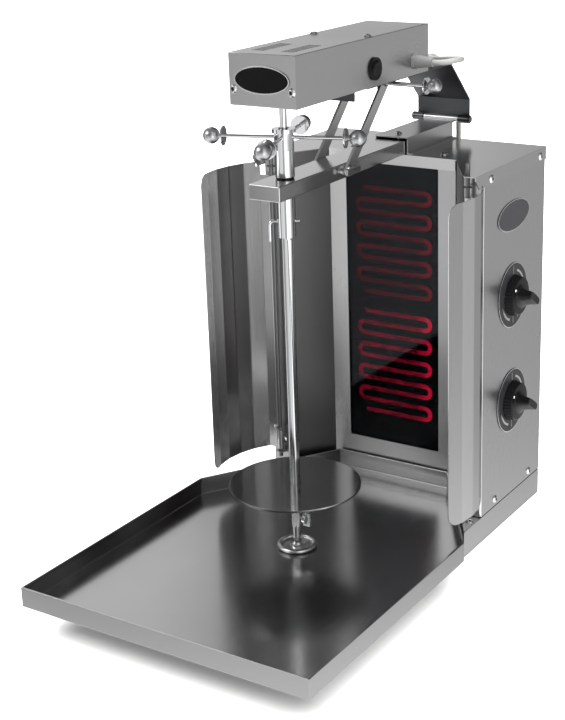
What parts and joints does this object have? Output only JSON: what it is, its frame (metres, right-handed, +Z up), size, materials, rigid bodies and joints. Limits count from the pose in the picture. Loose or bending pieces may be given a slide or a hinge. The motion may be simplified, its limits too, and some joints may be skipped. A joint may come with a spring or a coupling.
{
  "type": "doner kebab grill",
  "caption": "Electric tabletop kebab grill: glass-fronted heater cabinet with folded side wings, turning spit under a tilting drive, meat disc and tapered drip tray.",
  "frame": {"origin": "On the table, on the plane of symmetry, below the front edges of the cabinet's side panels.", "axes": "+X to the right seen from the front, +Y to the back, +Z up."},
  "size_m": [0.36, 0.6404, 0.6],
  "materials": {
    "brushed_stainless": "brushed",
    "polished_stainless": "mirror polished",
    "tray_steel": "polished",
    "dark_steel": "satin",
    "bright_chrome": "polished",
    "bush_brass": "turned",
    "black_glass": "polished",
    "glowing_element": "matte",
    "ceramic_board": "matte",
    "black_plastic": "moulded",
    "dial_lacquer": "glossy",
    "badge_lacquer": "glossy",
    "grey_casting": "cast",
    "cable_sheath": "smooth"
  },
  "bodies": {
    "root": {"base_plate": "brushed_stainless", "plinth": "brushed_stainless", "tray_runners": "brushed_stainless", "right_side_panel": "brushed_stainless", "left_side_panel": "brushed_stainless", "rear_panel": "brushed_stainless", "splay_plates": "brushed_stainless", "heater_frame": "brushed_stainless", "heater_glass": "black_glass", "upper_element": "glowing_element", "lower_element": "glowing_element", "insulation_board": "ceramic_board", "reflector_pan": "brushed_stainless", "top_cover": "polished_stainless", "arm_tunnel": "brushed_stainless", "arm": "polished_stainless", "arm_bush": "bush_brass", "stays": "brushed_stainless", "stay_clamp": "bright_chrome", "wing_rods": "bright_chrome", "wing_brackets": "brushed_stainless", "dial_plates": "dial_lacquer", "regulators": "black_plastic", "terminal_block": "ceramic_board", "mains_gland": "black_plastic", "cable_gland": "black_plastic", "drive_cable": "cable_sheath", "side_badge": "badge_lacquer", "cover_screws": "bright_chrome", "panel_screws": "bright_chrome", "spit_foot": "bright_chrome", "hinge_pin": "bright_chrome"},
    "tray": {"tray": "tray_steel"},
    "left_wing": {"left_wing": "polished_stainless"},
    "right_wing": {"right_wing": "polished_stainless"},
    "upper_knob": {"upper_knob": "black_plastic"},
    "lower_knob": {"lower_knob": "black_plastic"},
    "drive": {"tilt_plate": "dark_steel", "lock_lug": "dark_steel", "drive_base": "brushed_stainless", "drive_hood": "brushed_stainless", "gearbox": "grey_casting", "motor": "grey_casting", "drive_screws": "bright_chrome", "drive_badge": "badge_lacquer", "switch_body": "black_plastic", "drive_gland": "black_plastic"},
    "rocker": {"switch_rocker": "black_plastic"},
    "lock_rod": {"lock_rod": "bright_chrome", "lock_ball": "bright_chrome"},
    "output": {"output_shaft": "bright_chrome"},
    "spit": {"spit_sleeve": "polished_stainless", "cross_rods": "bright_chrome", "cross_balls": "bright_chrome", "spit_shaft": "polished_stainless"},
    "disc": {"meat_disc": "brushed_stainless", "disc_hub": "bright_chrome", "thumb_screws": "bright_chrome"},
    "spit_pin": {"spit_pin": "bright_chrome"}
  },
  "joints": [
    {"name": "drive_tilt", "type": "hinge", "parent": "root", "child": "drive", "pos_m": [0, 0.1808, 0.468], "axis": [-1, 0, 0], "range_deg": [0, 80], "deforming": ["drive_cable"]},
    {"name": "lock_rod_pull", "type": "slide", "parent": "drive", "child": "lock_rod", "axis": [1, 0, 0], "range_m": [0, 0.05]},
    {"name": "switch_rock", "type": "hinge", "parent": "drive", "child": "rocker", "pos_m": [0.04055, -0.054, 0.563], "axis": [0, -1, 0], "range_deg": [0, 24]},
    {"name": "output_turn", "type": "hinge", "parent": "drive", "child": "output", "pos_m": [0, -0.1742, 0.53], "axis": [0, 0, 1], "continuous": true},
    {"name": "spit_turn", "type": "hinge", "parent": "root", "child": "spit", "pos_m": [0, -0.1742, 0.25], "axis": [0, 0, 1], "continuous": true},
    {"name": "disc_lift", "type": "slide", "parent": "spit", "child": "disc", "axis": [0, 0, 1], "range_m": [0, 0.15]},
    {"name": "spit_pin_pull", "type": "slide", "parent": "spit", "child": "spit_pin", "axis": [-0.8387, -0.5446, 0], "range_m": [0, 0.03]},
    {"name": "left_wing_swing", "type": "hinge", "parent": "root", "child": "left_wing", "pos_m": [-0.13, -0.008, 0.25], "axis": [0, 0, 1], "range_deg": [-12, 75]},
    {"name": "right_wing_swing", "type": "hinge", "parent": "root", "child": "right_wing", "pos_m": [0.13, -0.008, 0.25], "axis": [0, 0, -1], "range_deg": [-12, 75]},
    {"name": "upper_knob_turn", "type": "hinge", "parent": "root", "child": "upper_knob", "pos_m": [0.1468, 0.0795, 0.286], "axis": [-1, 0, 0], "range_deg": [0, 270]},
    {"name": "lower_knob_turn", "type": "hinge", "parent": "root", "child": "lower_knob", "pos_m": [0.1468, 0.0795, 0.1543], "axis": [-1, 0, 0], "range_deg": [0, 270]},
    {"name": "tray_slide", "type": "slide", "parent": "root", "child": "tray", "axis": [0, -1, 0], "range_m": [0, 0.12]}
  ],
  "couplings": [
    {"joint": "output_turn", "follows": "spit_turn", "ratio": 1}
  ]
}
